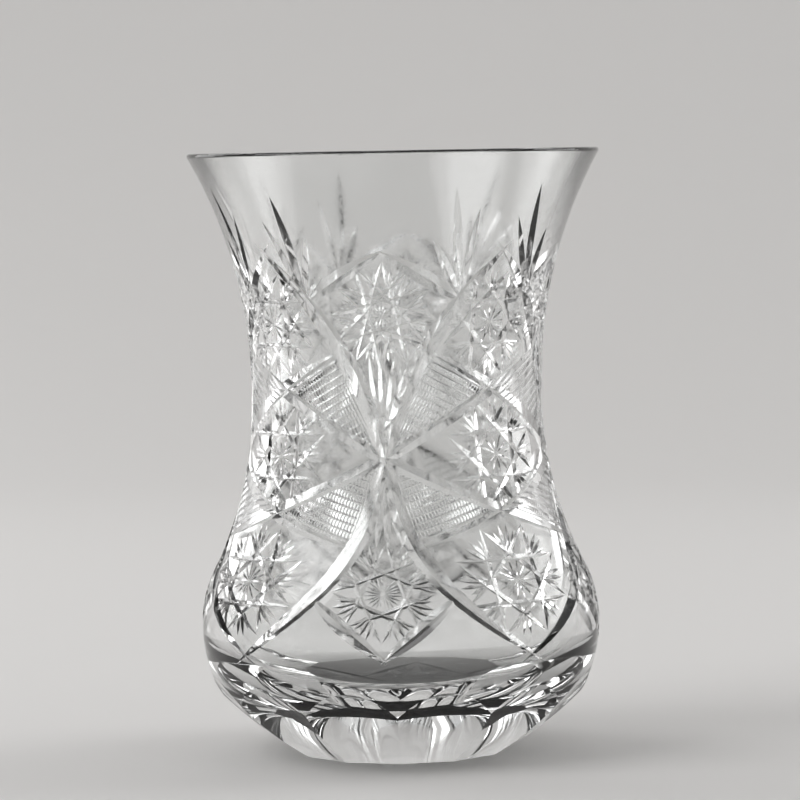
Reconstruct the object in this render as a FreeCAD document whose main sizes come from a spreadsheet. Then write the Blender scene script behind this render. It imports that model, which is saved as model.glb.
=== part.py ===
"""Cut-crystal tea glass: a waisted, thick-walled tulip of clear crystal, empty.

One solid. A revolved blank with a flared mouth, a narrow waist and a round belly is faceted under
the belly by a ring of flutes, and then cut with V-shaped mitres that follow curves on its outside.
Frame: +Z up, origin at the centre of the flat foot, a crossing of the long mitres faces -Y. Millimetres.
"""

import FreeCAD, Part

import math
import os

import Sketcher
from FreeCAD import Vector

NODE = "tea_glass"

# Driving dimensions. Lengths in mm, angles in degrees, heights above the foot.
SIZES = {
    "total_height": 88.0,
    "rim_radius": 30.4,
    "rim_wall": 1.4,
    "rim_rounding": 0.4,
    "waist_radius": 21.3,
    "waist_top": 54.0,
    "waist_bottom": 52.0,
    "waist_wall": 2.9,
    "belly_radius": 29.2,
    "belly_height": 19.0,
    "belly_wall": 3.2,
    "belly_share": 0.24,
    "blank_foot_radius": 18.0,
    "floor_thickness": 10.0,
    "flute_count": 12,
    "flute_foot_radius": 15.2,
    "flute_top": 11.0,
    "flute_arc": 47.0,
    "flute_turn": -11.5,
    "column_count": 4,
    "cross_height": 44.4,
    "upper_apex": 73.7,
    "lower_apex": 16.5,
    "corner_height": 66.8,
    "lower_corner": 25.3,
    "side_rise": 15.3,
    "side_fall": 12.4,
    "wheel_half_angle": 52.0,
    "steep_depth": 1.1,
    "side_depth": 0.72,
    "edge_depth": 0.9,
}

# How far a cutter stands proud of the glass, so that it opens the surface cleanly.
PROUD = 0.5
# The rim's rounding is limited to this share of its wall.
RIM_SHARE = 0.3
# How far the flute cutter runs past the blank.
FLUTE_MARGIN = 2.0
# How far two mitres run past the point where they meet, as a share of a mitre's length.
PASS = 0.05
# Stations along one mitre cutter.
STATIONS = 13


def make_sheet(doc):
    """The spreadsheet that holds every driving dimension under its own alias."""
    sheet = doc.addObject("Spreadsheet::Sheet", "Sizes")
    for row, (alias, value) in enumerate(SIZES.items(), start=1):
        sheet.set(f"A{row}", alias)
        sheet.set(f"B{row}", str(value))
        sheet.setAlias(f"B{row}", alias)
    doc.recompute()
    return sheet


def plane_of(body, role):
    """The body's own origin plane or axis with that role."""
    return next(f for f in body.Origin.OriginFeatures if f.Role == role)


def tangent_radius(along, across):
    """Radius of the arc that leaves one way and moves `across` sideways over `along`."""
    return (along**2 + across**2) / (2 * across)


class Outline:
    """The blank's outside radius and slope at each height, from the sheet's sizes."""

    def __init__(self, s):
        self.s = s
        self.flare = tangent_radius(s.total_height - s.waist_top, s.rim_radius - s.waist_radius)
        both = tangent_radius(s.waist_bottom - s.belly_height, s.belly_radius - s.waist_radius)
        self.belly_top = both * s.belly_share
        self.waist = both - self.belly_top
        self.turn = math.asin((s.waist_bottom - s.belly_height) / both)
        self.turn_height = s.belly_height + self.belly_top * math.sin(self.turn)
        self.under = tangent_radius(s.belly_height, s.belly_radius - s.blank_foot_radius)

    def radius(self, z):
        """Outside radius of the blank at height z."""
        s = self.s
        if z >= s.waist_top:
            return s.waist_radius + self.flare - math.sqrt(self.flare**2 - (z - s.waist_top) ** 2)
        if z >= s.waist_bottom:
            return s.waist_radius
        if z >= self.turn_height:
            return s.waist_radius + self.waist - math.sqrt(self.waist**2 - (s.waist_bottom - z) ** 2)
        arc = self.belly_top if z >= s.belly_height else self.under
        return s.belly_radius - arc + math.sqrt(arc**2 - (z - s.belly_height) ** 2)

    def slope(self, z, step=0.01):
        """How fast the outside radius grows with height at z."""
        return (self.radius(z + step) - self.radius(z - step)) / (2 * step)


def line(sketch, a, b):
    return sketch.addGeometry(Part.LineSegment(Vector(*a, 0), Vector(*b, 0)), False)


def arc(sketch, centre, radius, start, end):
    """An arc that runs anticlockwise from the start angle to the end angle, in radians."""
    circle = Part.Circle(Vector(*centre, 0), Vector(0, 0, 1), radius)
    return sketch.addGeometry(Part.ArcOfCircle(circle, start, end), False)


def bind(sketch, kind, *place, value, formula):
    """Adds a dimension with its value now, driven by a formula on the sheet."""
    index = sketch.addConstraint(Sketcher.Constraint(kind, *place, value))
    sketch.setExpression(f"Constraints[{index}]", formula)


def join(sketch, *pairs, tangent=True):
    """Makes pairs of end points meet, smoothly unless told otherwise."""
    kind = "Tangent" if tangent else "Coincident"
    for pair in pairs:
        sketch.addConstraint(Sketcher.Constraint(kind, *pair))


START, END, CENTRE = 1, 2, 3
ORIGIN = (-1, 1)


def side_curve(sketch, s, radius_at_waist, radius_at_belly, names):
    """Waist line, waist arc and upper belly arc of one face of the wall. Returns their indices."""
    both = tangent_radius(s.waist_bottom - s.belly_height, radius_at_belly - radius_at_waist)
    belly = both * s.belly_share
    waist = both - belly
    turn = math.asin((s.waist_bottom - s.belly_height) / both)
    upright = line(sketch, (radius_at_waist, s.waist_bottom), (radius_at_waist, s.waist_top))
    waist_arc = arc(
        sketch, (radius_at_waist + waist, s.waist_bottom), waist, math.pi, math.pi + turn
    )
    belly_arc = arc(sketch, (radius_at_belly - belly, s.belly_height), belly, 0, turn)
    sketch.addConstraint(Sketcher.Constraint("Vertical", upright))
    join(
        sketch,
        (upright, START, waist_arc, START),
        (waist_arc, END, belly_arc, END),
    )
    at_waist, at_belly = names
    rise = "(Sizes.waist_bottom - Sizes.belly_height)"
    reach = f"(({at_belly}) - ({at_waist}))"
    bind(sketch, "DistanceX", *ORIGIN, upright, START, value=radius_at_waist, formula=at_waist)
    bind(
        sketch, "DistanceY", *ORIGIN, upright, START, value=s.waist_bottom,
        formula="Sizes.waist_bottom",
    )
    bind(sketch, "DistanceY", *ORIGIN, upright, END, value=s.waist_top, formula="Sizes.waist_top")
    bind(
        sketch, "Radius", belly_arc, value=belly,
        formula=f"Sizes.belly_share * ({rise} ^ 2 + {reach} ^ 2) / (2 * {reach})",
    )
    bind(
        sketch, "DistanceY", *ORIGIN, belly_arc, START, value=s.belly_height,
        formula="Sizes.belly_height",
    )
    bind(sketch, "DistanceX", *ORIGIN, belly_arc, START, value=radius_at_belly, formula=at_belly)
    return upright, waist_arc, belly_arc


def flare_curve(sketch, s, upright, radius_at_waist, radius_at_rim, name):
    """The arc from the top of the waist out to the rim."""
    flare = tangent_radius(s.total_height - s.waist_top, radius_at_rim - radius_at_waist)
    swing = math.asin((s.total_height - s.waist_top) / flare)
    curve = arc(
        sketch, (radius_at_waist + flare, s.waist_top), flare, math.pi - swing, math.pi
    )
    join(sketch, (upright, END, curve, END))
    bind(
        sketch, "DistanceY", *ORIGIN, curve, START, value=s.total_height,
        formula="Sizes.total_height",
    )
    bind(sketch, "DistanceX", *ORIGIN, curve, START, value=radius_at_rim, formula=name)
    return curve


def draw_wall(sketch, s):
    """The half section of the blank: foot, outside, rim, inside and cavity floor."""
    outline = Outline(s)
    under = outline.under
    foot = line(sketch, (0, 0), (s.blank_foot_radius, 0))
    under_arc = arc(
        sketch, (s.belly_radius - under, s.belly_height), under,
        -math.asin(s.belly_height / under), 0,
    )
    upright, _, belly_arc = side_curve(
        sketch, s, s.waist_radius, s.belly_radius, ("Sizes.waist_radius", "Sizes.belly_radius")
    )
    flare = flare_curve(sketch, s, upright, s.waist_radius, s.rim_radius, "Sizes.rim_radius")
    join(sketch, (foot, START, *ORIGIN), (foot, END, under_arc, START), tangent=False)
    join(sketch, (under_arc, END, belly_arc, START))
    sketch.addConstraint(Sketcher.Constraint("Horizontal", foot))
    bind(
        sketch, "DistanceX", *ORIGIN, foot, END, value=s.blank_foot_radius,
        formula="Sizes.blank_foot_radius",
    )

    inner_waist = s.waist_radius - s.waist_wall
    inner_belly = s.belly_radius - s.belly_wall
    inner_rim = s.rim_radius - s.rim_wall
    inner_upright, _, inner_belly_arc = side_curve(
        sketch, s, inner_waist, inner_belly,
        ("Sizes.waist_radius - Sizes.waist_wall", "Sizes.belly_radius - Sizes.belly_wall"),
    )
    inner_flare = flare_curve(
        sketch, s, inner_upright, inner_waist, inner_rim, "Sizes.rim_radius - Sizes.rim_wall"
    )
    lip = line(sketch, (s.rim_radius, s.total_height), (inner_rim, s.total_height))
    join(sketch, (lip, START, flare, START), (lip, END, inner_flare, START), tangent=False)
    bowl = s.belly_height - s.floor_thickness
    corner = arc(sketch, (inner_belly - bowl, s.belly_height), bowl, -math.pi / 2, 0)
    floor = line(sketch, (inner_belly - bowl, s.floor_thickness), (0, s.floor_thickness))
    axis = line(sketch, (0, s.floor_thickness), (0, 0))
    join(sketch, (corner, END, inner_belly_arc, START), (corner, START, floor, START))
    join(sketch, (floor, END, axis, START), (axis, END, *ORIGIN), tangent=False)
    sketch.addConstraint(Sketcher.Constraint("Horizontal", floor))
    sketch.addConstraint(Sketcher.Constraint("Vertical", axis))
    bind(
        sketch, "DistanceY", *ORIGIN, axis, START, value=s.floor_thickness,
        formula="Sizes.floor_thickness",
    )


def draw_flute(sketch, s):
    """The region outside one flute: a shallow arc from the foot up past the blank's underside."""
    outline = Outline(s)
    low = Vector(s.flute_foot_radius, 0, 0)
    high = Vector(outline.radius(s.flute_top), s.flute_top, 0)
    chord = high - low
    outward = Vector(chord.y, -chord.x, 0).normalize()
    centre = (low + high) / 2 - outward * math.sqrt(s.flute_arc**2 - chord.Length**2 / 4)
    top = s.flute_top + FLUTE_MARGIN
    start = math.atan2(low.y - centre.y, low.x - centre.x)
    end = math.asin((top - centre.y) / s.flute_arc)
    curve = arc(sketch, (centre.x, centre.y), s.flute_arc, start, end)
    top_radius = centre.x + s.flute_arc * math.cos(end)
    far = s.belly_radius + 2 * FLUTE_MARGIN
    lid = line(sketch, (top_radius, top), (far, top))
    outside = line(sketch, (far, top), (far, -FLUTE_MARGIN))
    under = line(sketch, (far, -FLUTE_MARGIN), (low.x, -FLUTE_MARGIN))
    riser = line(sketch, (low.x, -FLUTE_MARGIN), (low.x, 0))
    join(
        sketch,
        (curve, END, lid, START),
        (lid, END, outside, START),
        (outside, END, under, START),
        (under, END, riser, START),
        (riser, END, curve, START),
        tangent=False,
    )
    for kind, edges in (("Horizontal", (lid, under)), ("Vertical", (outside, riser))):
        for edge in edges:
            sketch.addConstraint(Sketcher.Constraint(kind, edge))
    mark = sketch.addGeometry(Part.Point(high), True)
    sketch.addConstraint(Sketcher.Constraint("PointOnObject", mark, START, curve))
    foot_gap = "(Sizes.belly_radius - Sizes.blank_foot_radius)"
    under_arc = f"(({foot_gap} ^ 2 + Sizes.belly_height ^ 2) / (2 * {foot_gap}))"
    drop = "(Sizes.belly_height - Sizes.flute_top)"
    bind(
        sketch, "DistanceX", *ORIGIN, mark, START, value=high.x,
        formula=f"Sizes.belly_radius - {under_arc} + sqrt({under_arc} ^ 2 - {drop} ^ 2)",
    )
    bind(sketch, "DistanceY", *ORIGIN, mark, START, value=high.y, formula="Sizes.flute_top")
    bind(
        sketch, "DistanceX", *ORIGIN, curve, START, value=low.x, formula="Sizes.flute_foot_radius"
    )
    sketch.addConstraint(Sketcher.Constraint("PointOnObject", curve, START, -1))
    bind(sketch, "Radius", curve, value=s.flute_arc, formula="Sizes.flute_arc")
    bind(
        sketch, "DistanceY", *ORIGIN, lid, START, value=top,
        formula=f"Sizes.flute_top + {FLUTE_MARGIN}",
    )
    bind(
        sketch, "DistanceX", *ORIGIN, outside, START, value=far,
        formula=f"Sizes.belly_radius + {2 * FLUTE_MARGIN}",
    )
    bind(sketch, "DistanceY", under, END, *ORIGIN, value=FLUTE_MARGIN, formula=f"{FLUTE_MARGIN}")


def make_blank(doc, s):
    """The PartDesign body: revolved wall, rounded rim and the ring of flutes under the belly."""
    body = doc.addObject("PartDesign::Body", "Blank")
    upright_plane = plane_of(body, "XZ_Plane")

    def new_sketch(name):
        sketch = body.newObject("Sketcher::SketchObject", name)
        sketch.AttachmentSupport = [(upright_plane, "")]
        sketch.MapMode = "FlatFace"
        return sketch

    wall = new_sketch("WallSection")
    draw_wall(wall, s)
    doc.recompute()
    turned = body.newObject("PartDesign::Revolution", "TurnedWall")
    turned.Profile = wall
    turned.ReferenceAxis = (wall, ["V_Axis"])
    turned.Angle = 360
    doc.recompute()

    rims = [
        f"Edge{i}"
        for i, edge in enumerate(turned.Shape.Edges, start=1)
        if edge.BoundBox.ZMin > s.total_height - 1e-3
    ]
    rim = body.newObject("PartDesign::Fillet", "RoundedRim")
    rim.Base = (turned, rims)
    rim.Radius = min(s.rim_rounding, RIM_SHARE * s.rim_wall)
    rim.setExpression("Radius", f"min(Sizes.rim_rounding; {RIM_SHARE} * Sizes.rim_wall)")
    doc.recompute()

    section = new_sketch("FluteSection")
    section.AttachmentOffset = FreeCAD.Placement(
        Vector(), FreeCAD.Rotation(Vector(0, 1, 0), s.flute_turn)
    )
    section.setExpression("AttachmentOffset.Rotation.Angle", "Sizes.flute_turn * 1 deg")
    draw_flute(section, s)
    doc.recompute()
    before = body.Shape.Volume
    flute = body.newObject("PartDesign::Pocket", "Flute")
    flute.Profile = section
    flute.Type = "Length"
    flute.SideType = "Symmetric"
    flute.Length = 2 * s.belly_radius
    flute.setExpression("Length", "2 * Sizes.belly_radius")
    doc.recompute()
    assert body.Shape.Volume < before, "the flute cut nothing"
    ring = body.newObject("PartDesign::PolarPattern", "FluteRing")
    ring.Originals = [flute]
    ring.Axis = (plane_of(body, "Z_Axis"), [""])
    ring.Angle = 360
    ring.Occurrences = int(s.flute_count)
    ring.setExpression("Occurrences", "Sizes.flute_count")
    body.Tip = ring
    doc.recompute()
    return body


class CutPattern:
    """Routes of the long mitres, as angles from a column's centre line and heights."""

    def __init__(self, s):
        self.s = s
        self.outline = Outline(s)
        self.pitch = 360 / s.column_count
        self.half = self.pitch / 2

    def on_glass(self, column, angle, z):
        """Point on the blank and its outward normal, at an angle from a column's centre."""
        turn = math.radians(-90 + self.pitch * column + angle)
        out = Vector(math.cos(turn), math.sin(turn), 0)
        point = out * self.outline.radius(z) + Vector(0, 0, z)
        normal = (out - Vector(0, 0, self.outline.slope(z))).normalize()
        return point, normal

    def steep(self, t):
        """Through the crossing from the upper apex on one side to the lower one on the other."""
        s = self.s
        rise = abs(t)
        if t >= 0:
            z = s.cross_height + rise * (s.upper_apex - s.cross_height)
            return self.half * (0.36 * rise + 0.64 * rise**2), z
        z = s.cross_height - rise * (s.cross_height - s.lower_apex)
        return -self.half * (0.3 * rise + 0.7 * rise**2.5), z

    def steep_angle_at(self, z):
        """Angle of the steep mitre's upper or lower branch at a height."""
        s = self.s
        if z >= s.cross_height:
            t = (z - s.cross_height) / (s.upper_apex - s.cross_height)
        else:
            t = (z - s.cross_height) / (s.cross_height - s.lower_apex)
        return abs(self.steep(t)[0])

    def side(self, t):
        """Through the crossing from the neighbour's upper steep mitre to its lower one."""
        s = self.s
        if t >= 0:
            z = s.cross_height + s.side_rise * t * (1.1 - 0.1 * t)
            return (self.pitch - self.steep_angle_at(s.cross_height + s.side_rise)) * t, z
        reach = self.pitch - self.steep_angle_at(s.cross_height - s.side_fall)
        return reach * t, s.cross_height + s.side_fall * t * (1.25 + 0.25 * t)

    def upper_edge(self, t):
        """From the column's upper apex down to its steep mitre."""
        s = self.s
        return (
            self.steep_angle_at(s.corner_height) * t,
            s.upper_apex + (s.corner_height - s.upper_apex) * t,
        )

    def lower_edge(self, t):
        """From the column's lower apex up to its steep mitre."""
        s = self.s
        return (
            self.steep_angle_at(s.lower_corner) * t,
            s.lower_apex + (s.lower_corner - s.lower_apex) * t,
        )


def run_out(t, low, high, power):
    """Depth share along a cut from t = low to high: full in the middle, nothing at its ends."""
    return 1 - abs((2 * t - low - high) / (high - low)) ** power


def mitre(pattern, column, route, mirror, depth, low, high, power, overrun=0.04):
    """A V-shaped cutter along a route on the glass, fading out at both ends."""
    s = pattern.s
    spread = math.tan(math.radians(s.wheel_half_angle))

    def place(t):
        angle, z = route(t)
        return pattern.on_glass(column, mirror * angle, z)

    span = high - low
    wires = []
    for i in range(STATIONS):
        t = low - overrun * span + i / (STATIONS - 1) * span * (1 + 2 * overrun)
        point, normal = place(t)
        ahead, behind = place(t + 0.01)[0], place(t - 0.01)[0]
        across = normal.cross(ahead - behind).normalize()
        deep = depth * run_out(t, low, high, power)
        tip = point - normal * deep
        wide = (deep + PROUD) * spread
        crown = point + normal * PROUD
        wires.append(Part.makePolygon([tip, crown + across * wide, crown - across * wide, tip]))
    return Part.makeLoft(wires, True, True)


def make_cutters(doc, s):
    """Every long mitre as its own object, by kind, column and hand."""
    pattern = CutPattern(s)
    kinds = (
        ("Steep", pattern.steep, s.steep_depth, -1 - PASS, 1 + PASS, 4),
        ("Side", pattern.side, s.side_depth, -1.0, 1.0, 6),
        ("UpperEdge", pattern.upper_edge, s.edge_depth, -PASS, 1 + PASS, 2),
        ("LowerEdge", pattern.lower_edge, s.edge_depth, -PASS, 1 + PASS, 2),
    )
    cutters = []
    for column in range(int(s.column_count)):
        for hand in (-1, 1):
            for name, route, depth, low, high, power in kinds:
                shape = mitre(pattern, column, route, hand, depth, low, high, power)
                side = "Left" if hand < 0 else "Right"
                cutter = doc.addObject("Part::Feature", f"{name}{side}{column}")
                cutter.Shape = shape
                cutters.append(cutter)
    return cutters


def check(doc, final):
    """Stops the build if any object failed or the final solid is not one valid solid."""
    for item in doc.Objects:
        assert not {"Invalid", "Error"} & set(item.State), f"{item.Name} failed"
    shape = final.Shape
    assert not shape.isNull() and shape.isValid(), f"{final.Label} has no valid shape"
    assert len(shape.Solids) == 1, f"{final.Label} has {len(shape.Solids)} solids"


def main():
    doc = FreeCAD.newDocument("TeaGlass")
    sheet = make_sheet(doc)
    blank = make_blank(doc, sheet)
    cutters = make_cutters(doc, sheet)
    glass = blank
    for cutter in cutters:
        cut = doc.addObject("Part::Cut", f"Cut{cutter.Name}")
        cut.Base = glass
        cut.Tool = cutter
        glass = cut
    glass.Label = NODE
    doc.recompute()
    check(doc, glass)
    os.makedirs("parts", exist_ok=True)
    glass.Shape.exportStep(os.path.join("parts", f"{glass.Label}.step"))
    print(
        f"{glass.Label}: {glass.Shape.Volume / 1000:.1f} cm3, {len(glass.Shape.Faces)} faces,"
        f" blank {blank.Shape.Volume / 1000:.1f} cm3"
    )


main()
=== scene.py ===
"""Cut-crystal tea glass: one closed mesh of clear crystal, standing empty on a pale floor.

The blank is turned from the same named sizes as the CAD part, and every mitre, star and hatch line
is a V-shaped groove that is really cut out of it.
"""

import math
import random

import bpy
from mathutils import Matrix, Vector


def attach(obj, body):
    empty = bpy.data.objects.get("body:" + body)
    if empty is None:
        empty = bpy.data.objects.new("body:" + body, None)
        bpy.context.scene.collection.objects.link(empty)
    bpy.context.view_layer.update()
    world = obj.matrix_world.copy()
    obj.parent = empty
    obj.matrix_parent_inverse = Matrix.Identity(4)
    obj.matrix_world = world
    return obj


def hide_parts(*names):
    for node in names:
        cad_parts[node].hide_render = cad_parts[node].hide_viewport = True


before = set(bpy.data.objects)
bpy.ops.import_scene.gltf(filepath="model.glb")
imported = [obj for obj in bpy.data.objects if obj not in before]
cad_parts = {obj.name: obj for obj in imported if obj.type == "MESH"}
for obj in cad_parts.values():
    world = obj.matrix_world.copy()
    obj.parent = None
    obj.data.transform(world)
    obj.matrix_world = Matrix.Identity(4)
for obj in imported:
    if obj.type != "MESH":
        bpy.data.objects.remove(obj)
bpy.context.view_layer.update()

MM = 0.001

# Sizes in mm and degrees, the same as the CAD part's.
TOTAL_HEIGHT = 88.0
RIM_RADIUS = 30.4
RIM_WALL = 1.4
RIM_ROUNDING = 0.4
WAIST_RADIUS = 21.3
WAIST_TOP = 54.0
WAIST_BOTTOM = 52.0
WAIST_WALL = 2.9
BELLY_RADIUS = 29.2
BELLY_HEIGHT = 19.0
BELLY_WALL = 3.2
BELLY_SHARE = 0.24
BLANK_FOOT_RADIUS = 18.0
FLOOR_THICKNESS = 10.0
FLUTE_COUNT = 12
FLUTE_FOOT_RADIUS = 15.2
FLUTE_TOP = 11.0
FLUTE_ARC = 47.0
FLUTE_TURN = -11.5
COLUMNS = 4
CROSS_HEIGHT = 44.4
UPPER_APEX = 73.7
LOWER_APEX = 16.5
CORNER_HEIGHT = 66.8
LOWER_CORNER = 25.3
SIDE_RISE = 15.3
SIDE_FALL = 12.4
WHEEL_HALF_ANGLE = 52.0
STEEP_DEPTH = 1.1
SIDE_DEPTH = 0.72
EDGE_DEPTH = 0.9
PASS = 0.05

# Sizes of the visual model alone. The sideways hollow of each flute in mm: its depth in the middle,
# and the radius that it curves to.
FLUTE_HOLLOW = 0.3
FLUTE_WHEEL = 50.0
# In degrees: half the angle of a fine V, how the panel stars stand, how far off centre two of them
# are, and how far the fans lean.
FINE_HALF_ANGLE = 50.0
PANEL_TURN = 112.5
STAR_DRIFT = 2.5
FAN_LEAN = 8.5
# Where the rays at a crossing start, and how deep they are, in mm.
RAY_START = 1.6
RAY_DEPTH = 0.46
# Hatching in mm: the gap left at each end of a line, and the shortest line that is cut.
HATCH_GAP = 0.35
HATCH_SHORTEST = 0.6

PITCH = 360 / COLUMNS
HALF = PITCH / 2

# How finely the mesh is made. Columns round the blank, and the share of a column that they are
# turned by, so that none stands on a centre line of the pattern.
SEGMENTS = 120
SEGMENT_SHIFT = 0.37
# Rows up each stretch of the outside, of the inside, and round the two corners of the lip.
UNDER_ROWS, BELLY_ROWS, WAIST_ROWS, FLARE_ROWS = 18, 9, 14, 20
BOWL_ROWS, INNER_BELLY_ROWS, INNER_WAIST_ROWS, INNER_FLARE_ROWS = 12, 8, 14, 16
LIP_OUTER_ROWS, LIP_INNER_ROWS = 6, 5
# In mm: the band that is left to the lip, and how far under the top the slope is last taken.
RIM_BAND = 1.2
SLOPE_INSET = 0.1
# A flute's cutter, in mm and in strips: its half width, how far it runs below the foot, above the
# flute's top and outside the belly, and its strips up and across.
FLUTE_REACH = 8.2
FLUTE_BELOW = 1.0
FLUTE_ABOVE = 1.5
FLUTE_CLEAR = 4.0
FLUTE_ROWS = 16
FLUTE_COLUMNS = 14
# In mm: how far a cut's ends stay off the surface, and the cells that keep cuts apart.
GROOVE_LIFT = 0.004
CELL = 0.3
CELL_STEP = 0.22
CELL_MARGIN = 0.1
# Faces that meet at more than this many degrees meet at a crisp edge.
SHARP_ANGLE = 16
# What each face of the mesh is.
OUTER, INNER, RIM, FLUTE, MITRE, FINE = range(6)

rng = random.Random(5)


def tangent_radius(along, across):
    return (along**2 + across**2) / (2 * across)


class Wall:
    """Radius and slope of one face of the wall: the outside, or the inside of the cavity."""

    def __init__(self, waist, belly, rim):
        self.waist, self.belly, self.rim = waist, belly, rim
        self.flare = tangent_radius(TOTAL_HEIGHT - WAIST_TOP, rim - waist)
        both = tangent_radius(WAIST_BOTTOM - BELLY_HEIGHT, belly - waist)
        self.belly_arc = both * BELLY_SHARE
        self.waist_arc = both - self.belly_arc
        turn = math.asin((WAIST_BOTTOM - BELLY_HEIGHT) / both)
        self.turn_height = BELLY_HEIGHT + self.belly_arc * math.sin(turn)
        self.under = tangent_radius(BELLY_HEIGHT, belly - BLANK_FOOT_RADIUS)

    def radius(self, z):
        if z >= WAIST_TOP:
            return self.waist + self.flare - math.sqrt(self.flare**2 - (z - WAIST_TOP) ** 2)
        if z >= WAIST_BOTTOM:
            return self.waist
        if z >= self.turn_height:
            fall = math.sqrt(self.waist_arc**2 - (WAIST_BOTTOM - z) ** 2)
            return self.waist + self.waist_arc - fall
        arc = self.belly_arc if z >= BELLY_HEIGHT else self.under
        return self.belly - arc + math.sqrt(arc**2 - (z - BELLY_HEIGHT) ** 2)

    def slope(self, z, step=0.01):
        return (self.radius(z + step) - self.radius(z - step)) / (2 * step)


outside = Wall(WAIST_RADIUS, BELLY_RADIUS, RIM_RADIUS)
inside = Wall(WAIST_RADIUS - WAIST_WALL, BELLY_RADIUS - BELLY_WALL, RIM_RADIUS - RIM_WALL)


def spread_out(low, high, count):
    return [low + (high - low) * i / count for i in range(count + 1)]


def rim_points():
    """The lip: the outside and inside corners of the rim, each rounded off."""
    top = TOTAL_HEIGHT
    lean_out = math.atan(outside.slope(top - SLOPE_INSET))
    lean_in = math.atan(inside.slope(top - SLOPE_INSET))
    r = RIM_ROUNDING
    points = []
    # The outside corner is acute, so its arc is tangent to the flare and to the flat top.
    corner = RIM_RADIUS
    reach = r / math.tan((math.pi / 2 - lean_out) / 2)
    centre = Vector((corner - reach, top - r))
    for i in range(LIP_OUTER_ROWS + 1):
        turn = -lean_out + (math.pi / 2 + lean_out) * i / LIP_OUTER_ROWS
        points.append((centre.x + r * math.cos(turn), centre.y + r * math.sin(turn)))
    corner = RIM_RADIUS - RIM_WALL
    reach = r / math.tan((math.pi / 2 + lean_in) / 2)
    centre = Vector((corner + reach, top - r))
    for i in range(LIP_INNER_ROWS + 1):
        turn = math.pi / 2 + (math.pi / 2 - lean_in) * i / LIP_INNER_ROWS
        points.append((centre.x + r * math.cos(turn), centre.y + r * math.sin(turn)))
    return points


def profile():
    """The half section as (radius, height, face kind of the strip up to the next point)."""
    points = [(0.0, 0.0, RIM), (BLANK_FOOT_RADIUS / 2, 0.0, RIM)]
    heights = spread_out(0.0, BELLY_HEIGHT, UNDER_ROWS)
    heights += spread_out(BELLY_HEIGHT, outside.turn_height, BELLY_ROWS)[1:]
    heights += spread_out(outside.turn_height, WAIST_BOTTOM, WAIST_ROWS)[1:]
    heights += spread_out(WAIST_TOP, TOTAL_HEIGHT - RIM_BAND, FLARE_ROWS)
    points += [(outside.radius(z), z, OUTER) for z in heights]
    rim = rim_points()
    points += [(r, z, RIM) for r, z in rim[:-1]]
    points.append((*rim[-1], INNER))
    inner = spread_out(WAIST_TOP, TOTAL_HEIGHT - RIM_BAND, INNER_FLARE_ROWS)[::-1]
    inner += spread_out(inside.turn_height, WAIST_BOTTOM, INNER_WAIST_ROWS)[::-1]
    inner += spread_out(BELLY_HEIGHT, inside.turn_height, INNER_BELLY_ROWS)[::-1][1:]
    points += [(inside.radius(z), z, INNER) for z in inner]
    bowl = BELLY_HEIGHT - FLOOR_THICKNESS
    middle = BELLY_RADIUS - BELLY_WALL - bowl
    for i in range(1, BOWL_ROWS + 1):
        turn = -math.pi / 2 * i / BOWL_ROWS
        points.append((middle + bowl * math.cos(turn), BELLY_HEIGHT + bowl * math.sin(turn), RIM))
    points.append((middle / 2, FLOOR_THICKNESS, RIM))
    points.append((0.0, FLOOR_THICKNESS, RIM))
    return points


def new_object(name, verts, faces, kinds):
    mesh = bpy.data.meshes.new(name)
    mesh.from_pydata([[c * MM for c in v] for v in verts], [], faces)
    for material in slots:
        mesh.materials.append(material)
    mesh.polygons.foreach_set("material_index", kinds)
    mesh.update()
    obj = bpy.data.objects.new(name, mesh)
    bpy.context.scene.collection.objects.link(obj)
    return obj


def turned_blank():
    """The whole glass before cutting, as a closed mesh of revolution."""
    verts, rings, faces, kinds = [], [], [], []
    section = profile()
    for r, z, _ in section:
        if r == 0.0:
            rings.append([len(verts)])
            verts.append((0.0, 0.0, z))
            continue
        rings.append(list(range(len(verts), len(verts) + SEGMENTS)))
        for k in range(SEGMENTS):
            turn = 2 * math.pi * (k + SEGMENT_SHIFT) / SEGMENTS
            verts.append((r * math.cos(turn), r * math.sin(turn), z))
    for a, b, (_, _, kind) in zip(rings, rings[1:], section):
        for k in range(SEGMENTS):
            n = (k + 1) % SEGMENTS
            if len(a) == 1:
                faces.append((a[0], b[n], b[k]))
            elif len(b) == 1:
                faces.append((a[k], a[n], b[0]))
            else:
                faces.append((a[k], a[n], b[n], b[k]))
            kinds.append(kind)
    return new_object("tea_glass_crystal", verts, faces, kinds)


def on_glass(angle, z):
    """Point on the blank and its outward normal, at a pattern angle and a height."""
    turn = math.radians(-90 + angle)
    out = Vector((math.cos(turn), math.sin(turn), 0))
    r = outside.radius(z)
    return out * r + Vector((0, 0, z)), (out - Vector((0, 0, outside.slope(z)))).normalized()


def steep(t):
    """Through the crossing from the upper apex on one side to the lower one on the other."""
    rise = abs(t)
    if t >= 0:
        z = CROSS_HEIGHT + rise * (UPPER_APEX - CROSS_HEIGHT)
        return HALF * (0.36 * rise + 0.64 * rise**2), z
    z = CROSS_HEIGHT - rise * (CROSS_HEIGHT - LOWER_APEX)
    return -HALF * (0.3 * rise + 0.7 * rise**2.5), z


def steep_angle_at(z):
    """Angle of the steep mitre's upper or lower branch at a height."""
    if z >= CROSS_HEIGHT:
        return abs(steep((z - CROSS_HEIGHT) / (UPPER_APEX - CROSS_HEIGHT))[0])
    return abs(steep((z - CROSS_HEIGHT) / (CROSS_HEIGHT - LOWER_APEX))[0])


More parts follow.
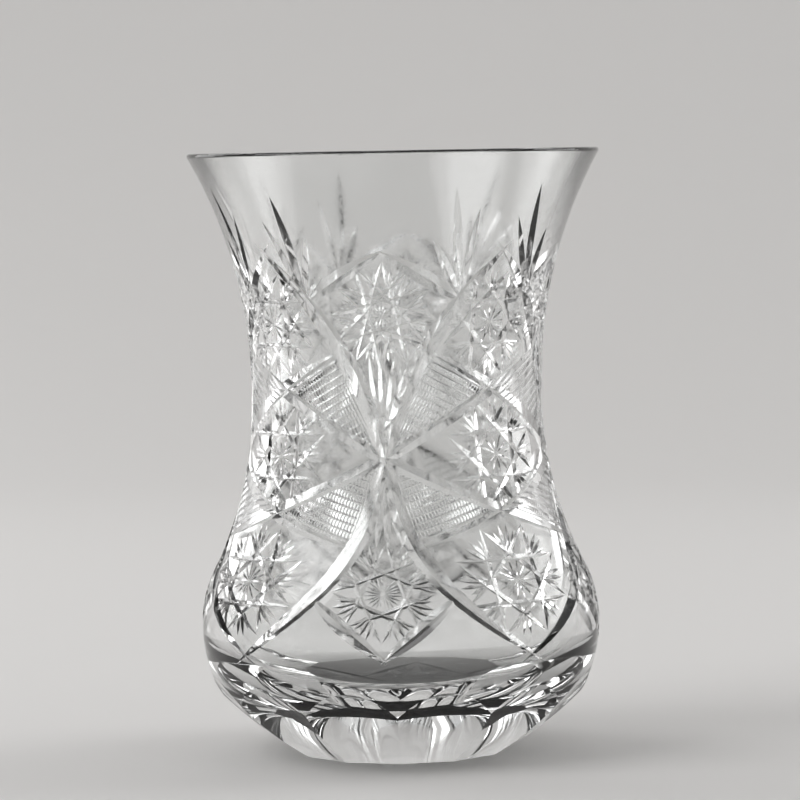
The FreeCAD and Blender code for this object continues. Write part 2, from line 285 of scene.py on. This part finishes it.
def side(t):
    """Through the crossing from the neighbour's upper steep mitre to its lower one."""
    if t >= 0:
        reach = PITCH - steep_angle_at(CROSS_HEIGHT + SIDE_RISE)
        return reach * t, CROSS_HEIGHT + SIDE_RISE * t * (1.1 - 0.1 * t)
    reach = PITCH - steep_angle_at(CROSS_HEIGHT - SIDE_FALL)
    return reach * t, CROSS_HEIGHT + SIDE_FALL * t * (1.25 + 0.25 * t)


def upper_edge(t):
    """From the column's upper apex down to its steep mitre."""
    return steep_angle_at(CORNER_HEIGHT) * t, UPPER_APEX + (CORNER_HEIGHT - UPPER_APEX) * t


def lower_edge(t):
    """From the column's lower apex up to its steep mitre."""
    return steep_angle_at(LOWER_CORNER) * t, LOWER_APEX + (LOWER_CORNER - LOWER_APEX) * t


class Groove:
    """A V-shaped cut along a route of (pattern angle, height), fading out at its ends.

    A higher power keeps it at full depth for longer. half is half the angle of the V, proud is how
    far the cutter stands out of the glass, and spacing is from station to station.
    """

    def __init__(
        self, route, depth, power=2.0, half=FINE_HALF_ANGLE, proud=0.12, kind=FINE,
        spacing=1.2, skew=0.5,
    ):
        self.kind = kind
        rough = [on_glass(*route(i / 8))[0] for i in range(9)]
        length = sum((b - a).length for a, b in zip(rough, rough[1:]))
        count = max(2, math.ceil(length / spacing))
        self.stations = []
        wide = math.tan(math.radians(half))
        for i in range(count + 1):
            t = i / count
            # The deepest point sits at the share skew of the cut's length.
            s = t * 0.5 / skew if t < skew else 0.5 + (t - skew) * 0.5 / (1 - skew)
            deep = depth * (1 - abs(2 * s - 1) ** power) - GROOVE_LIFT
            point, normal = on_glass(*route(t))
            ahead = on_glass(*route(t + 0.01))[0]
            behind = on_glass(*route(t - 0.01))[0]
            across = normal.cross(ahead - behind).normalized()
            self.stations.append((point, normal, across, deep, (deep + proud) * wide))
        self.proud = proud

    def mesh(self):
        verts, faces = [], []
        for point, normal, across, deep, wide in self.stations:
            crown = point + normal * self.proud
            verts += [point - normal * deep, crown + across * wide, crown - across * wide]
        last = len(self.stations) - 1
        for i in range(last):
            a, b = 3 * i, 3 * i + 3
            for j in range(3):
                k = (j + 1) % 3
                faces.append((a + j, a + k, b + k, b + j))
        faces.append((0, 2, 1))
        faces.append((3 * last, 3 * last + 1, 3 * last + 2))
        return verts, faces

    def cells(self):
        """Small cells of space that the cut's top touches, to keep cuts of one batch apart."""
        found = set()
        for (p0, _, c0, _, w0), (p1, _, c1, _, w1) in zip(self.stations, self.stations[1:]):
            steps = max(1, math.ceil((p1 - p0).length / CELL_STEP))
            for i in range(steps + 1):
                t = i / steps
                p, c = p0.lerp(p1, t), c0.lerp(c1, t)
                w = w0 + (w1 - w0) * t + CELL_MARGIN
                side_steps = max(1, math.ceil(w / CELL_STEP))
                for j in range(-side_steps, side_steps + 1):
                    q = p + c * (w * j / side_steps)
                    found.add(tuple(math.floor(v / CELL) for v in q))
        return found


grooves = []


def cut(route, depth, **options):
    grooves.append(Groove(route, depth, **options))


def segment(a, b):
    """Straight route between two (pattern angle, height) places."""
    return lambda t: (a[0] + (b[0] - a[0]) * t, a[1] + (b[1] - a[1]) * t)


def mirrored(route, centre, hand):
    return lambda t: (centre + hand * route(t)[0], route(t)[1])


def chart(angle, z):
    """A flat map in mm round a place on the glass: returns a function from (u, v)."""
    rise = 1 / math.sqrt(1 + outside.slope(z) ** 2)

    def place(u, v):
        height = z + v * rise
        return angle + math.degrees(u / outside.radius(height)), height

    return place


def polar(place, turn, r):
    return place(r * math.cos(turn), r * math.sin(turn))


def long_cuts():
    """The mitres that frame the pattern."""
    # The route of each, its depth, its power and its spacing.
    mitres = (
        (lambda t: steep((1 + PASS) * (2 * t - 1)), STEEP_DEPTH, 4, 2.0),
        (lambda t: side(2 * t - 1), SIDE_DEPTH, 6, 2.0),
        (lambda t: upper_edge((1 + 2 * PASS) * t - PASS), EDGE_DEPTH, 2, 1.2),
        (lambda t: lower_edge((1 + 2 * PASS) * t - PASS), EDGE_DEPTH, 2, 1.2),
    )
    for column in range(COLUMNS):
        for hand in (1, -1):
            for route, depth, power, spacing in mitres:
                cut(mirrored(route, column * PITCH, hand), depth, power=power,
                    half=WHEEL_HALF_ANGLE, proud=0.4, kind=MITRE, spacing=spacing)


def fans():
    """The plumes of lens cuts that stand in each valley of the upper edge."""
    # How far each cut turns from the middle in degrees, and its length and depth in mm.
    rays = (
        (0.0, 16.2, 0.66),
        (-19.5, 9.8, 0.62),
        (16.5, 12.8, 0.52),
        (-48.0, 5.4, 0.45),
        (46.0, 5.8, 0.45),
    )
    for column in range(COLUMNS):
        for hand in (1, -1):
            corner = steep_angle_at(CORNER_HEIGHT)
            place = chart(column * PITCH + hand * corner, CORNER_HEIGHT)
            for turn, reach, depth in rays:
                way = math.radians(90 + FAN_LEAN - hand * turn + rng.uniform(-2, 2))
                reach *= rng.uniform(0.95, 1.05)
                cut(segment(polar(place, way, 0.2), polar(place, way, reach)), depth,
                    power=2.2, kind=MITRE, proud=0.2, skew=0.42)


def crossing_rays():
    """Thin rays that spring up and down from each crossing."""
    # The way each ray points in degrees, and how far from the crossing it ends in mm.
    upward = ((97.0, 15.2), (90.5, 16.0), (84.0, 15.2))
    downward = ((-102.0, 11.0), (-94.5, 12.5), (-87.0, 12.8), (-79.5, 11.5))
    for column in range(COLUMNS):
        place = chart(column * PITCH, CROSS_HEIGHT)
        for turn, reach in upward + downward:
            way = math.radians(turn + rng.uniform(-0.7, 0.7))
            ray = segment(polar(place, way, RAY_START), polar(place, way, reach))
            cut(ray, RAY_DEPTH, half=WHEEL_HALF_ANGLE, power=3)


def star(
    angle, z, radius, points, step, depth, hub_rays, plumes, plume_depth, turn0=90.0, squash=1.0
):
    """A star of long chords with a small many-rayed hub and plumes between its points."""
    place = chart(angle, z)
    spin = math.radians(turn0 + rng.uniform(-2.5, 2.5))

    def at(way, r):
        return place(squash * r * math.cos(way), r * math.sin(way))

    for k in range(points):
        a = spin + 2 * math.pi * k / points
        b = spin + 2 * math.pi * (k + step) / points
        ra = radius * rng.uniform(0.95, 1.04)
        rb = radius * rng.uniform(0.95, 1.04)
        cut(segment(at(a, ra), at(b, rb)), depth, power=3.5)
    inner = radius * math.cos(math.pi * step / points)
    for k in range(hub_rays):
        way = spin + 2 * math.pi * (k + 0.5) / hub_rays
        ray = segment(at(way, 0.15), at(way, inner * 1.02))
        cut(ray, 0.18, power=2, proud=0.08, spacing=1.6)
    for k in range(points):
        middle = spin + 2 * math.pi * (k + 0.5) / points
        for offset, low, high in plumes:
            way = middle + math.radians(offset)
            root = at(middle + math.radians(offset * 0.35), radius * low)
            plume = segment(root, at(way, radius * high))
            cut(plume, plume_depth, power=2, proud=0.08, spacing=1.8)


# Lens cuts between two points of a star: turn from the middle in degrees, and where each starts and
# ends as a share of the star's radius.
TWELVE_PLUMES = ((-5.0, 0.52, 0.86), (5.0, 0.52, 0.86))
LOWER_PLUMES = ((-13.0, 0.45, 0.92), (-4.5, 0.42, 1.02), (4.5, 0.42, 1.02), (13.0, 0.45, 0.92))
PANEL_PLUMES = ((-12.5, 0.48, 0.86), (-4.2, 0.44, 0.97), (4.2, 0.44, 0.97), (12.5, 0.48, 0.86))


def stars():
    """The twelve-pointed and eight-pointed stars, each filling its own panel."""
    panel = dict(
        points=8, step=3, depth=0.38, plumes=PANEL_PLUMES, plume_depth=0.32, turn0=PANEL_TURN
    )
    for column in range(COLUMNS):
        middle = column * PITCH
        star(middle, 64.6, radius=7.7, points=12, step=5, depth=0.44, hub_rays=16,
             plumes=TWELVE_PLUMES, plume_depth=0.34, squash=0.98)
        star(middle, 26.0, radius=7.5, points=8, step=3, depth=0.34, hub_rays=24,
             plumes=LOWER_PLUMES, plume_depth=0.36, squash=1.02)
        between = middle + HALF
        drifted = between - STAR_DRIFT
        star(drifted, 63.4, radius=8.2, hub_rays=12, squash=0.97, **panel)
        star(between, 44.6, radius=8.4, hub_rays=12, squash=1.0, **panel)
        star(drifted, 27.0, radius=9.0, hub_rays=14, squash=1.1, **panel)


def clip_to_triangle(point, way, corners):
    """Range of a straight line inside a triangle given counter-clockwise, or nothing."""
    low, high = -1e9, 1e9
    for (ax, ay), (bx, by) in zip(corners, corners[1:] + corners[:1]):
        nx, ny = -(by - ay), bx - ax
        size = math.hypot(nx, ny)
        nx, ny = nx / size, ny / size
        here = (point[0] - ax) * nx + (point[1] - ay) * ny
        rate = way[0] * nx + way[1] * ny
        if abs(rate) < 1e-9:
            if here < 0:
                return None
            continue
        t = -here / rate
        if rate > 0:
            low = max(low, t)
        else:
            high = min(high, t)
    return (low, high) if high - low > 0.5 else None


def hatched(column, hand, up):
    """One triangle of broad lines crossed by fine ones, beside a crossing.

    It is laid out flat, in mm across from the crossing's upright and in heights.
    """
    rise = SIDE_RISE if up else -SIDE_FALL
    outer_z = CROSS_HEIGHT + rise
    steep_angle = steep_angle_at(outer_z)
    side_z = next(
        z for t in spread_out(0, 1, 400) for a, z in [side(t if up else -t)] if abs(a) >= HALF
    )
    scale = math.radians(1) * outside.radius((CROSS_HEIGHT + outer_z) / 2)
    corners = [(0.0, CROSS_HEIGHT), (HALF * scale, side_z), (steep_angle * scale, outer_z)]
    if not up:
        corners = [corners[0], corners[2], corners[1]]
    centre = column * PITCH

    def route(a, b):
        return mirrored(segment((a[0] / scale, a[1]), (b[0] / scale, b[1])), centre, hand)

    base_a, base_b = (corners[1], corners[2]) if up else (corners[2], corners[1])
    way = (base_b[0] - base_a[0], base_b[1] - base_a[1])
    size = math.hypot(*way)
    way = (way[0] / size, way[1] / size)
    normal = (-way[1], way[0])
    if (corners[0][0] - base_a[0]) * normal[0] + (corners[0][1] - base_a[1]) * normal[1] < 0:
        normal = (-normal[0], -normal[1])
    # The way of the lines, the way from line to line and the distance, the first line's place, and
    # how deep and proud they are.
    broad = (way, normal, 1.05, 0.9, 0.24, 0.12)
    fine = (normal, way, 0.5, 0.25, 0.2, 0.05)
    for along, step_way, step, start, depth, proud in (broad, fine):
        for i in range(60):
            offset = start + i * step
            point = (base_a[0] + step_way[0] * offset, base_a[1] + step_way[1] * offset)
            found = clip_to_triangle(point, along, corners)
            if found is None:
                continue
            low, high = found[0] + HATCH_GAP, found[1] - HATCH_GAP
            if high - low < HATCH_SHORTEST:
                continue
            a = (point[0] + along[0] * low, point[1] + along[1] * low)
            b = (point[0] + along[0] * high, point[1] + along[1] * high)
            cut(route(a, b), depth, power=12, proud=proud, spacing=1.3)


def hatching():
    for column in range(COLUMNS):
        for hand in (1, -1):
            for up in (True, False):
                hatched(column, hand, up)


class Flute:
    """One hollow-ground facet of the foot: an upright arc, swept sideways along a hollow."""

    low = Vector((FLUTE_FOOT_RADIUS, 0.0))
    high = Vector((outside.radius(FLUTE_TOP), FLUTE_TOP))
    chord = high - low
    middle = (low + high) / 2 - Vector((chord.y, -chord.x)).normalized() * math.sqrt(
        FLUTE_ARC**2 - chord.length**2 / 4
    )

    def __init__(self, number):
        turn = math.radians(FLUTE_TURN + 360 * number / FLUTE_COUNT)
        self.out = Vector((math.cos(turn), math.sin(turn), 0))
        self.across = Vector((-math.sin(turn), math.cos(turn), 0))

    def point(self, w, z):
        r = self.middle.x + math.sqrt(FLUTE_ARC**2 - (z - self.middle.y) ** 2)
        r = r - FLUTE_HOLLOW + w**2 / (2 * FLUTE_WHEEL)
        return self.out * r + self.across * w + Vector((0, 0, z))

    def normal(self, point):
        rise = (point.z - self.middle.y) / FLUTE_ARC
        tilt = point.dot(self.across) / FLUTE_WHEEL
        level = self.out * math.sqrt(1 - rise**2) - self.across * tilt
        return (level + Vector((0, 0, rise))).normalized()


def flute_cutters():
    """The facets round the foot, in two rounds so that neighbours don't meet in one."""
    heights = spread_out(-FLUTE_BELOW, FLUTE_TOP + FLUTE_ABOVE, FLUTE_ROWS)
    widths = spread_out(-FLUTE_REACH, FLUTE_REACH, FLUTE_COLUMNS)
    rows, columns = len(heights), len(widths)
    batches = []
    for first in (0, 1):
        verts, faces = [], []
        for k in range(first, FLUTE_COUNT, 2):
            flute = Flute(k)
            start = len(verts)
            for w in widths:
                verts += [flute.point(w, z) for z in heights]
            back = len(verts)
            for w in widths:
                for z in heights:
                    clear = flute.out * (BELLY_RADIUS + FLUTE_CLEAR)
                    verts.append(clear + flute.across * w + Vector((0, 0, z)))
            for i in range(columns - 1):
                for j in range(rows - 1):
                    one, two = i * rows + j, (i + 1) * rows + j
                    quad = (one, two, two + 1, one + 1)
                    faces.append(tuple(start + v for v in reversed(quad)))
                    faces.append(tuple(back + v for v in quad))
            border = list(range(rows))
            border += [i * rows + rows - 1 for i in range(1, columns)]
            border += [(columns - 1) * rows + j for j in reversed(range(rows - 1))]
            border += [i * rows for i in reversed(range(1, columns - 1))]
            for a, b in zip(border, border[1:] + border[:1]):
                faces.append((back + a, back + b, start + b, start + a))
        batches.append(("flutes", verts, faces, [FLUTE] * len(faces)))
    return batches


flutes = [Flute(k) for k in range(FLUTE_COUNT)]


def nearest_flute(point):
    angle = math.degrees(math.atan2(point.y, point.x))
    return flutes[round((angle - FLUTE_TURN) * FLUTE_COUNT / 360) % FLUTE_COUNT]


def batches_of_grooves():
    """Groups the cuts so that no two of a group touch: each group is one Boolean."""
    taken = {}
    groups = []
    for groove in grooves:
        cells = groove.cells()
        mask = 0
        for cell in cells:
            mask |= taken.get(cell, 0)
        number = 0
        while mask >> number & 1:
            number += 1
        for cell in cells:
            taken[cell] = taken.get(cell, 0) | 1 << number
        if number == len(groups):
            groups.append([])
        groups[number].append(groove)
    out = []
    for group in groups:
        verts, faces, kinds = [], [], []
        for groove in group:
            v, f = groove.mesh()
            start = len(verts)
            verts += v
            faces += [tuple(start + i for i in face) for face in f]
            kinds += [groove.kind] * len(f)
        out.append(("grooves", verts, faces, kinds))
    return out


def shade(mesh):
    """True normals: exact on turned and faceted surfaces, crisp between the walls of cuts."""
    mesh.polygons.foreach_set("use_smooth", [True] * len(mesh.polygons))
    mesh.set_sharp_from_angle(angle=math.radians(SHARP_ANGLE))
    normals = [(0.0, 0.0, 0.0)] * len(mesh.loops)
    for polygon in mesh.polygons:
        kind = polygon.material_index
        if kind not in (OUTER, INNER, FLUTE):
            continue
        facet = nearest_flute(polygon.center / MM) if kind == FLUTE else None
        for loop in polygon.loop_indices:
            point = mesh.vertices[mesh.loops[loop].vertex_index].co / MM
            if kind == FLUTE:
                normals[loop] = facet.normal(point)
                continue
            out = Vector((point.x, point.y, 0)).normalized()
            wall = outside if kind == OUTER else inside
            slope = wall.slope(min(point.z, TOTAL_HEIGHT - SLOPE_INSET))
            normal = (out - Vector((0, 0, slope))).normalized()
            normals[loop] = normal if kind == OUTER else -normal
    mesh.normals_split_custom_set(normals)


CRYSTAL_COLOUR = (0.975, 0.982, 0.98)
CRYSTAL_IOR = 1.545


def crystal(name, low, high, scale):
    """Clear lead crystal whose roughness wanders a little between low and high."""
    material = bpy.data.materials.new(name)
    material.use_nodes = True
    tree = material.node_tree
    shader = tree.nodes["Principled BSDF"]
    shader.inputs["Base Color"].default_value = (*CRYSTAL_COLOUR, 1)
    shader.inputs["IOR"].default_value = CRYSTAL_IOR
    shader.inputs["Transmission Weight"].default_value = 1.0
    place = tree.nodes.new("ShaderNodeTexCoord")
    noise = tree.nodes.new("ShaderNodeTexNoise")
    noise.inputs["Scale"].default_value = scale
    noise.inputs["Detail"].default_value = 3
    tree.links.new(place.outputs["Object"], noise.inputs["Vector"])
    span = tree.nodes.new("ShaderNodeMapRange")
    span.inputs["From Min"].default_value = 0.3
    span.inputs["From Max"].default_value = 0.7
    span.inputs["To Min"].default_value = low
    span.inputs["To Max"].default_value = high
    tree.links.new(noise.outputs["Fac"], span.inputs["Value"])
    tree.links.new(span.outputs["Result"], shader.inputs["Roughness"])
    return material


polished = crystal("crystal_polished", 0.0, 0.03, 60)
fine_cut = crystal("crystal_fine_cut", 0.06, 0.18, 1800)
slots = [polished, polished, polished, polished, polished, fine_cut]

long_cuts()
fans()
crossing_rays()
stars()
hatching()

glass = turned_blank()
cutters = []
for index, (name, verts, faces, kinds) in enumerate(flute_cutters() + batches_of_grooves()):
    cutter = new_object(f"cutter_{name}_{index}", verts, faces, kinds)
    step = glass.modifiers.new(cutter.name, "BOOLEAN")
    step.operation = "DIFFERENCE"
    step.solver = "MANIFOLD"
    step.object = cutter
    cutters.append(cutter)
print("grooves", len(grooves), "batches", len(cutters))
depsgraph = bpy.context.evaluated_depsgraph_get()
cut_mesh = bpy.data.meshes.new_from_object(glass.evaluated_get(depsgraph))
glass.modifiers.clear()
glass.data = cut_mesh
for cutter in cutters:
    bpy.data.objects.remove(cutter)
print("faces", len(cut_mesh.polygons), "tris", sum(len(p.vertices) - 2 for p in cut_mesh.polygons))
shade(cut_mesh)

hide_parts("tea_glass")
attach(glass, "root")


# The set: a pale floor that runs up into a backdrop, all one soft sweep, in metres.
SWEEP_FLOOR = 0.95
SWEEP_BEND = 0.35
SWEEP_HEIGHT = 1.6
SWEEP_CENTRE = -0.5
SWEEP_SIDES = 96
BEND_ROWS = 16
PAPER = (0.72, 0.71, 0.70)
STUDIO_GREY = (0.09, 0.09, 0.09)


def plain_paper(name, colour):
    material = bpy.data.materials.new(name)
    material.use_nodes = True
    shader = material.node_tree.nodes["Principled BSDF"]
    shader.inputs["Base Color"].default_value = (*colour, 1)
    shader.inputs["Roughness"].default_value = 0.9
    return material


def sweep():
    """A round floor, off centre towards the camera, that curves up into a wall all round."""
    points = [(SWEEP_FLOOR, 0.0)]
    for i in range(1, BEND_ROWS + 1):
        turn = math.pi / 2 * i / BEND_ROWS
        r = SWEEP_FLOOR + SWEEP_BEND * math.sin(turn)
        points.append((r, SWEEP_BEND - SWEEP_BEND * math.cos(turn)))
    points.append((SWEEP_FLOOR + SWEEP_BEND, SWEEP_HEIGHT))
    verts = [(0.0, SWEEP_CENTRE, 0.0)]
    for r, z in points:
        for k in range(SWEEP_SIDES):
            turn = 2 * math.pi * k / SWEEP_SIDES
            verts.append((r * math.cos(turn), SWEEP_CENTRE + r * math.sin(turn), z))
    faces = []
    for k in range(SWEEP_SIDES):
        n = (k + 1) % SWEEP_SIDES
        faces.append((0, 1 + k, 1 + n))
        for i in range(len(points) - 1):
            low, high = 1 + i * SWEEP_SIDES, 1 + (i + 1) * SWEEP_SIDES
            faces.append((low + k, high + k, high + n, low + n))
    mesh = bpy.data.meshes.new("backdrop")
    mesh.from_pydata(verts, [], faces)
    mesh.polygons.foreach_set("use_smooth", [True] * len(mesh.polygons))
    mesh.materials.append(plain_paper("pale_paper", PAPER))
    obj = bpy.data.objects.new("backdrop", mesh)
    bpy.context.scene.collection.objects.link(obj)
    return obj


floor = sweep()


def lamp(name, place, target, size, watts):
    light = bpy.data.lights.new(name, "AREA")
    light.shape = "RECTANGLE"
    light.size, light.size_y = size
    light.energy = watts
    obj = bpy.data.objects.new(name, light)
    obj.location = place
    obj.rotation_euler = (Vector(target) - Vector(place)).to_track_quat("-Z", "Y").to_euler()
    bpy.context.scene.collection.objects.link(obj)


middle = (0, 0, 0.045)
lamp("key", (-0.55, -0.30, 0.60), middle, (0.55, 0.6), 2.7)
lamp("right_strip", (0.60, 0.26, 0.30), middle, (0.4, 0.7), 1.7)
lamp("left_strip", (-0.56, 0.36, 0.26), middle, (0.35, 0.7), 1.5)
lamp("overhead", (0.05, 0.15, 0.75), middle, (1.4, 1.2), 3.0)

scene = bpy.context.scene
world = bpy.data.worlds.new("studio")
world.use_nodes = True
tree = world.node_tree
tree.nodes["Background"].inputs["Color"].default_value = (*STUDIO_GREY, 1)
tree.nodes["Background"].inputs["Strength"].default_value = 1.0
scene.world = world

# The camera stands level with the rim and looks a little down. Distances in mm, turns in degrees.
CAMERA_DISTANCE = 575.0
CAMERA_AZIMUTH = 5.0
CAMERA_PITCH = 3.64
CAMERA_ROLL = 1.05
CAMERA_SIDE = 0.45
CAMERA_SENSOR = 36
CAMERA_LENS = 176.7
camera_data = bpy.data.cameras.new("camera")
camera_data.sensor_width = CAMERA_SENSOR
camera_data.lens = CAMERA_LENS
camera = bpy.data.objects.new("camera", camera_data)
scene.collection.objects.link(camera)
turn = math.radians(CAMERA_AZIMUTH)
camera.location = (
    (CAMERA_DISTANCE * math.sin(turn) + CAMERA_SIDE * math.cos(turn)) * MM,
    (-CAMERA_DISTANCE * math.cos(turn) + CAMERA_SIDE * math.sin(turn)) * MM,
    TOTAL_HEIGHT * MM,
)
aim = Matrix.Rotation(turn, 4, "Z") @ Matrix.Rotation(math.radians(90 - CAMERA_PITCH), 4, "X")
aim = aim @ Matrix.Rotation(math.radians(-CAMERA_ROLL), 4, "Z")
camera.rotation_euler = aim.to_euler()
scene.camera = camera
scene.view_settings.view_transform = "Standard"
